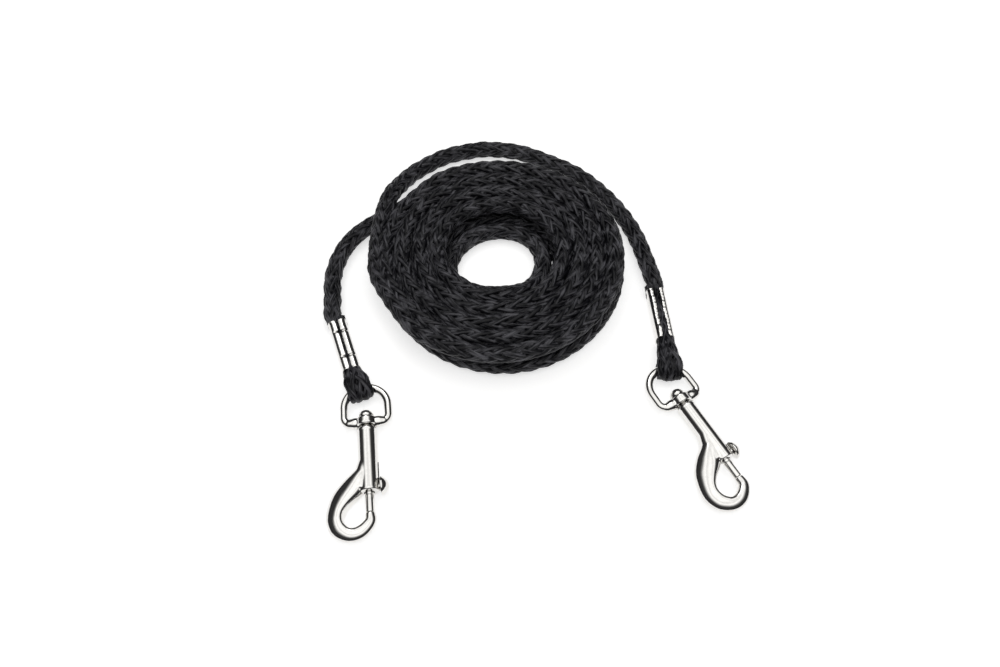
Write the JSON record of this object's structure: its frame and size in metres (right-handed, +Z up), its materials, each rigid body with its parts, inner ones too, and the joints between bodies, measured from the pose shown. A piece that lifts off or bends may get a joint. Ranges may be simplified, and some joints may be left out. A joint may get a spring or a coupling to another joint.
{
  "type": "training leash",
  "caption": "Braided cord training leash, coiled, each end with a crimped loop and a swivel bolt snap, for clipping to a collar or to itself.",
  "frame": {"origin": "on the plane the leash lies on, at the middle of the box round its two sets of metal hardware, which are the two ferrules, eyes and snaps", "axes": "+Z up from the plane the leash lies on; +Y from the snaps towards the coil; +X from the left snap to the right one"},
  "size_m": [0.1519, 0.1793, 0.014],
  "materials": {
    "black_cord": "braided, slightly glossy filament",
    "nickel_plate": "polished nickel plate",
    "spring_steel": "drawn wire"
  },
  "bodies": {
    "lead": {"cord_coil": "black_cord", "cord_lead_left": "black_cord", "cord_core_left": "black_cord", "cord_tail_left": "black_cord", "cord_loop_left": "black_cord", "cord_lead_right": "black_cord", "cord_core_right": "black_cord", "cord_tail_right": "black_cord", "cord_loop_right": "black_cord", "ferrule_left": "nickel_plate", "ferrule_right": "nickel_plate"},
    "eye_left": {"swivel_eye_left": "nickel_plate"},
    "snap_left": {"snap_body_left": "nickel_plate", "bolt_spring_left": "spring_steel"},
    "bolt_left": {"snap_bolt_left": "nickel_plate", "thumb_knob_left": "nickel_plate"},
    "eye_right": {"swivel_eye_right": "nickel_plate"},
    "snap_right": {"snap_body_right": "nickel_plate", "bolt_spring_right": "spring_steel"},
    "bolt_right": {"snap_bolt_right": "nickel_plate", "thumb_knob_right": "nickel_plate"}
  },
  "joints": [
    {"name": "eye_swing_left", "type": "hinge", "parent": "lead", "child": "eye_left", "pos_m": [-0.05984, 0.00639, 0.0037], "axis": [-0.9161, -0.401, 0], "range_deg": [0, 85]},
    {"name": "snap_swivel_left", "type": "hinge", "parent": "eye_left", "child": "snap_left", "pos_m": [-0.0557, -0.0089, 0.0037], "axis": [-0.1253, 0.9921, 0], "continuous": true},
    {"name": "bolt_slide_left", "type": "slide", "parent": "snap_left", "child": "bolt_left", "axis": [-0.1253, 0.9921, 0], "range_m": [0, 0.0068], "stiffness_N_per_m": 150, "springref_m": -0.004, "deforming": ["bolt_spring_left"]},
    {"name": "eye_swing_right", "type": "hinge", "parent": "lead", "child": "eye_right", "pos_m": [0.05186, 0.01501, 0.0037], "axis": [-0.9999, 0.0112, 0], "range_deg": [0, 85]},
    {"name": "snap_swivel_right", "type": "hinge", "parent": "eye_right", "child": "snap_right", "pos_m": [0.0557, 0, 0.0037], "axis": [-0.4756, 0.8797, 0], "continuous": true},
    {"name": "bolt_slide_right", "type": "slide", "parent": "snap_right", "child": "bolt_right", "axis": [-0.4756, 0.8797, 0], "range_m": [0, 0.0068], "stiffness_N_per_m": 150, "springref_m": -0.004, "deforming": ["bolt_spring_right"]}
  ]
}
